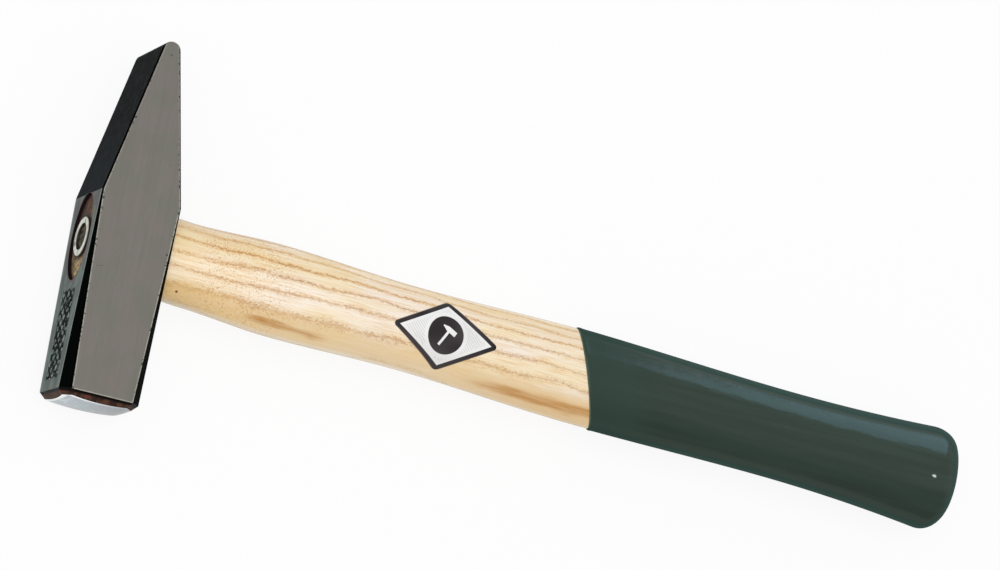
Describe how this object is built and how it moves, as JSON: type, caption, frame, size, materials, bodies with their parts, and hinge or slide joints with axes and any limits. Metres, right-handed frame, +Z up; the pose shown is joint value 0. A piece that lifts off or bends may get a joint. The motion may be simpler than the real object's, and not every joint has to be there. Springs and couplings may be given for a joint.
{
  "type": "fitters hammer",
  "caption": "Fitters hammer: a forged steel head with a cross pein and a chamfered poll, wedged on an oval ash handle with a dipped lacquer grip, for striking and shaping metal.",
  "frame": {"origin": "on the lower cheek of the head, straight below the middle of the eye; the hammer lies on that cheek", "axes": "+X from the top of the head through the eye towards the butt of the handle, +Y along the head towards the pein (the striking face looks along -Y), +Z up, square to the cheeks"},
  "size_m": [0.3217, 0.118, 0.027],
  "materials": {
    "forged_steel": "satin",
    "ash": "satin lacquer",
    "bright_steel": "satin",
    "green_lacquer": "gloss"
  },
  "bodies": {
    "root": {"head": "forged_steel", "handle": "ash", "ring_wedge": "bright_steel", "grip_coat": "green_lacquer"}
  },
  "joints": []
}
